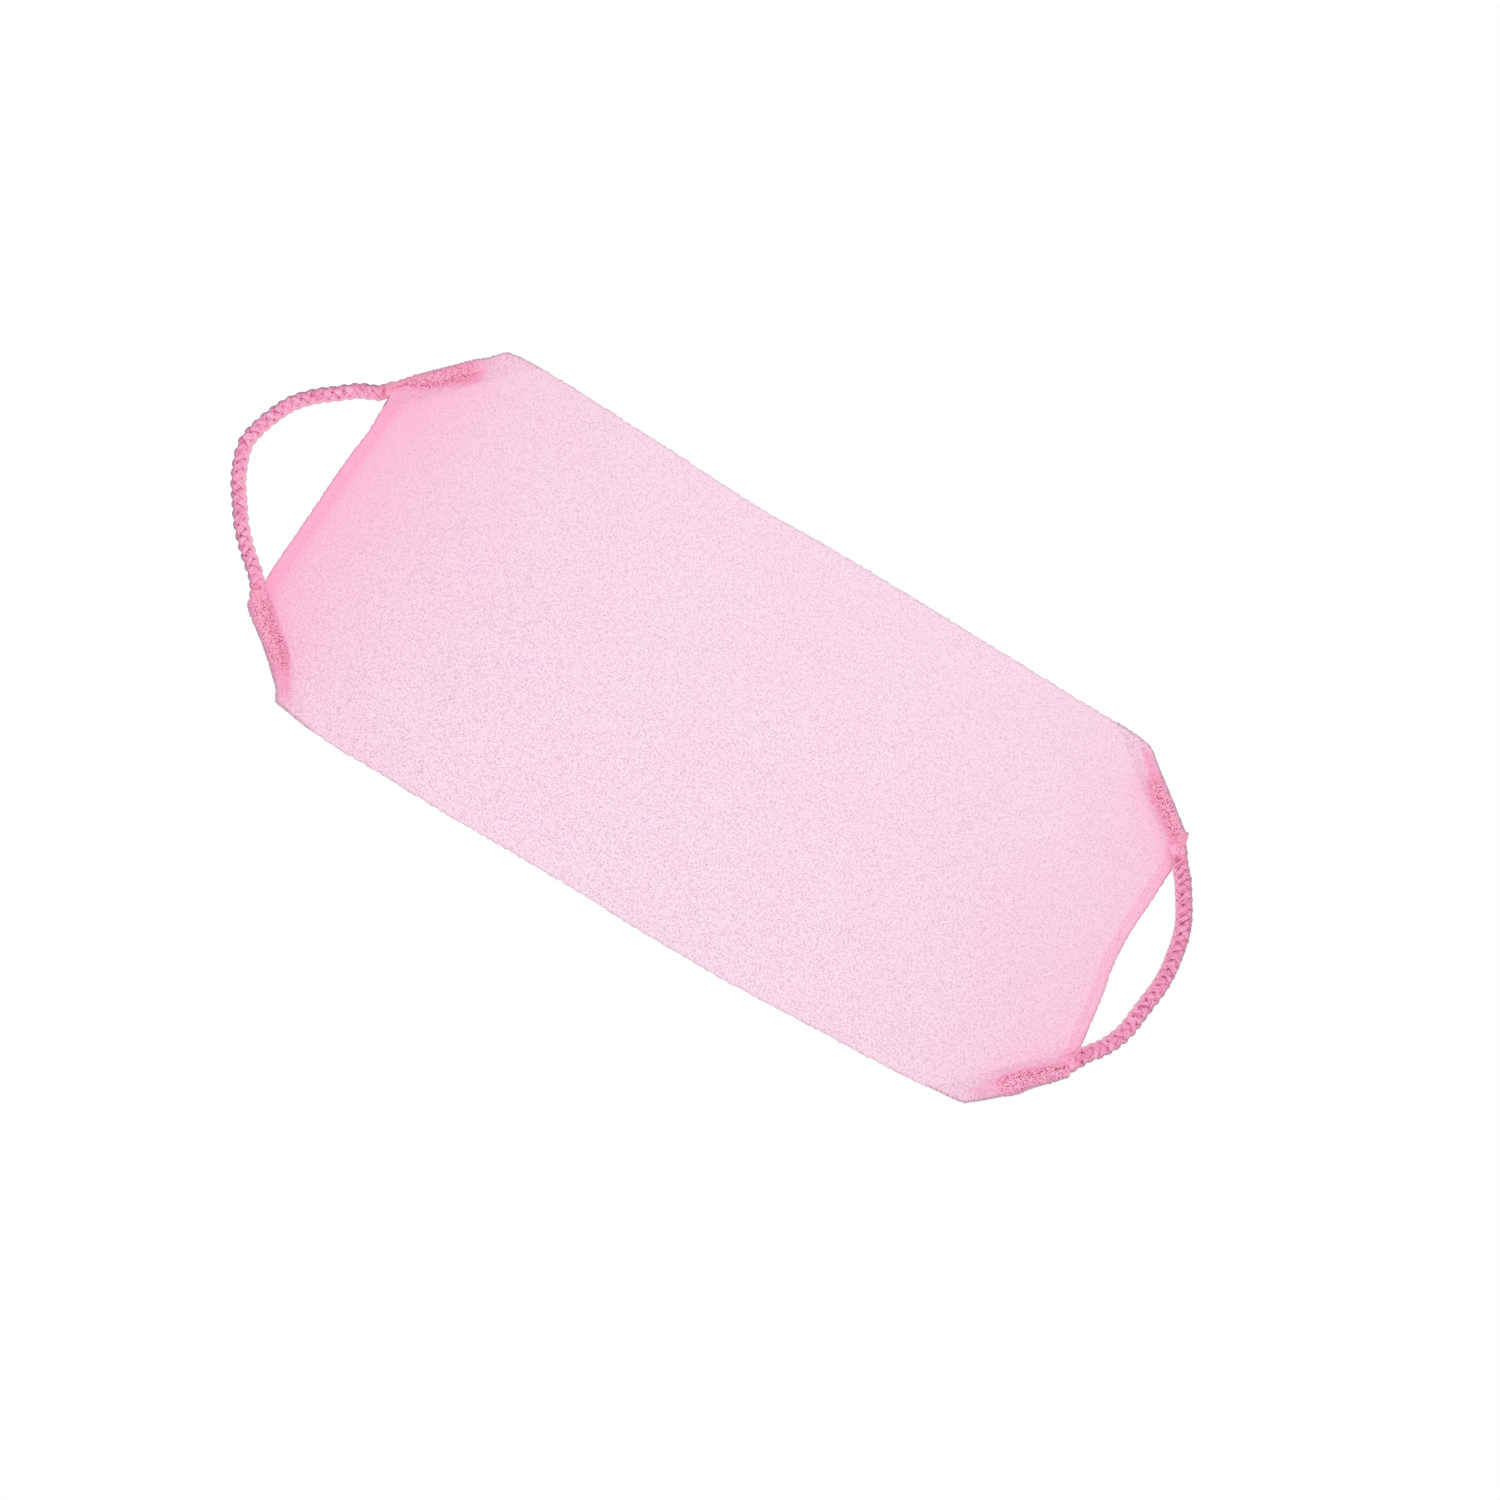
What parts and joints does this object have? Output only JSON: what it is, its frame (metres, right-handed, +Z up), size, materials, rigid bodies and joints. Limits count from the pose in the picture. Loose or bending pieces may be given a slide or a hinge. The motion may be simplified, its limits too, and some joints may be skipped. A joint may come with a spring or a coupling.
{
  "type": "back scrubber",
  "caption": "Flat two-ply exfoliating cloth with hemmed ends and a braided rope handle sewn into the sleeved corners at each end.",
  "frame": {"origin": "middle of the cloth's outline with its sleeves and without the free rope, on the underside that lies on the surface", "axes": "+X along the cloth to the right-hand handle, +Y to the far long edge, +Z up out of the front face"},
  "size_m": [0.4998, 0.2, 0.01],
  "materials": {
    "crepe": "fine crepe-woven synthetic, pale pink, matt",
    "hem": "same crepe folded double, deeper pink",
    "sleeve": "same crepe in several layers, wrinkled, deep pink",
    "rope": "soft round braid of eight strands, slight sheen",
    "thread": "sewing thread to match the hem"
  },
  "bodies": {
    "cloth": {"front_panel": "crepe", "back_panel": "crepe", "side_seam_thread_far": "thread", "side_seam_thread_near": "thread", "end_hem_left": "hem", "end_hem_right": "hem", "hem_stitches_left": "thread", "hem_stitches_right": "thread", "sleeve_left_far": "sleeve", "sleeve_right_far": "sleeve", "sleeve_right_near": "sleeve", "sleeve_left_near": "sleeve", "sleeve_stitches_left_far": "thread", "sleeve_stitches_right_far": "thread", "sleeve_stitches_right_near": "thread", "sleeve_stitches_left_near": "thread", "rope_tack_left_far": "thread", "rope_tack_right_far": "thread", "rope_tack_right_near": "thread", "rope_tack_left_near": "thread", "rope_end_left_far": "rope", "rope_end_right_far": "rope", "rope_end_right_near": "rope", "rope_end_left_near": "rope"},
    "handle_left": {"rope_root_left_far": "rope", "rope_root_left_near": "rope", "rope_loop_left": "rope"},
    "handle_right": {"rope_root_right_far": "rope", "rope_root_right_near": "rope", "rope_loop_right": "rope"}
  },
  "joints": [
    {"name": "left_handle_swing", "type": "hinge", "parent": "cloth", "child": "handle_left", "pos_m": [-0.2225, 0, 0.00375], "axis": [0.041, 0.9992, 0], "range_deg": [0, 140], "deforming": ["rope_root_left_far", "rope_root_left_near"]},
    {"name": "right_handle_swing", "type": "hinge", "parent": "cloth", "child": "handle_right", "pos_m": [0.2201, 0, 0.00375], "axis": [0.0487, -0.9988, 0], "range_deg": [0, 140], "deforming": ["rope_root_right_far", "rope_root_right_near"]}
  ]
}
